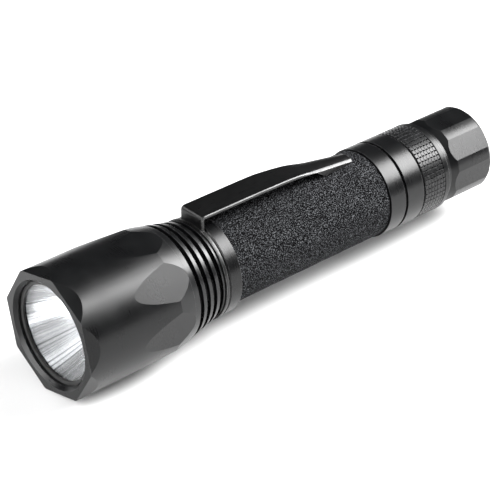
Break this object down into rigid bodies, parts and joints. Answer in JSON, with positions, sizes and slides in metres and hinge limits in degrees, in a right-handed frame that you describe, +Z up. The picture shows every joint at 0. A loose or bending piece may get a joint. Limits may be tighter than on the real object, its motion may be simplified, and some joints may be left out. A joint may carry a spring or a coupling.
{
  "type": "tactical flashlight",
  "caption": "Tactical flashlight with finned head, reflector and window, foam grip, pocket clip, knurled selector ring and unscrewing tail with a push button.",
  "frame": {"origin": "the floor directly under the middle of the light's length, lying level with its clip up", "axes": "+X from the front rim to the tail, +Z up through the clip, +Y to the right as seen looking from the head towards the tail's far side"},
  "size_m": [0.1468, 0.035, 0.0352],
  "materials": {
    "black_anodised": "satin hard anodised",
    "black_steel": "satin black oxide on spring steel",
    "black_rubber": "moulded",
    "foam": "closed-cell foam with a fine grain",
    "clear_glass": "polished",
    "bright_reflector": "vacuum-plated bowl with fine radial streaks",
    "white_plastic": "moulded",
    "white_board": "solder-masked board",
    "phosphor": "silicone over phosphor",
    "brass_pill": "turned",
    "green_board": "solder-masked board",
    "dark_plastic": "moulded",
    "ivory_plastic": "moulded",
    "bright_steel": "nickel plated",
    "cell_wrap": "shrink sleeve"
  },
  "bodies": {
    "light": {"head_shell": "black_anodised", "window_seal": "black_rubber", "window": "clear_glass", "reflector": "bright_reflector", "led_gasket": "white_plastic", "led_dome": "phosphor", "led_emitter": "phosphor", "led_board": "white_board", "pill": "brass_pill", "driver_parts": "dark_plastic", "driver_board": "green_board", "front_contact_spring": "bright_steel", "fin_neck": "black_anodised", "head_o_ring": "black_rubber", "clip_ring": "black_steel", "body_tube": "black_anodised", "grip_sleeve": "foam", "front_cell": "cell_wrap", "rear_cell": "cell_wrap", "cell_caps": "bright_steel"},
    "tail_carrier": {"tail_contact_spring": "bright_steel"},
    "tail_section": {"tail_sleeve": "black_anodised", "tail_o_ring": "black_rubber", "switch_housing": "black_anodised", "detent_spring": "bright_steel", "detent_ball": "bright_steel", "snap_ring": "black_steel", "switch_board": "green_board", "switch_body": "dark_plastic", "return_spring": "bright_steel", "boot_flange": "black_rubber", "tail_cap": "black_anodised"},
    "selector": {"selector_ring": "black_anodised"},
    "clip": {"clip_arm": "black_steel"},
    "button": {"switch_plunger": "ivory_plastic", "switch_boot": "black_rubber"}
  },
  "joints": [
    {"name": "tail_travel", "type": "slide", "parent": "light", "child": "tail_carrier", "axis": [1, 0, 0], "range_m": [0, 0.0036]},
    {"name": "tail_turn", "type": "hinge", "parent": "tail_carrier", "child": "tail_section", "pos_m": [0.0446, 0, 0.0175], "axis": [1, 0, 0], "range_deg": [-1080, 0]},
    {"name": "selector_turn", "type": "hinge", "parent": "tail_section", "child": "selector", "pos_m": [0.0511, 0, 0.0175], "axis": [1, 0, 0], "range_deg": [-45, 45]},
    {"name": "button_press", "type": "slide", "parent": "tail_section", "child": "button", "axis": [-1, 0, 0], "range_m": [0, 0.0018], "stiffness_N_per_m": 2500, "deforming": ["return_spring"]},
    {"name": "clip_flex", "type": "hinge", "parent": "light", "child": "clip", "pos_m": [-0.0255, 0, 0.0347], "axis": [0, -1, 0], "range_deg": [0, 5], "stiffness_Nm_per_rad": 6}
  ],
  "couplings": [
    {"joint": "tail_turn", "follows": "tail_travel", "rad_per_m": -5236}
  ]
}
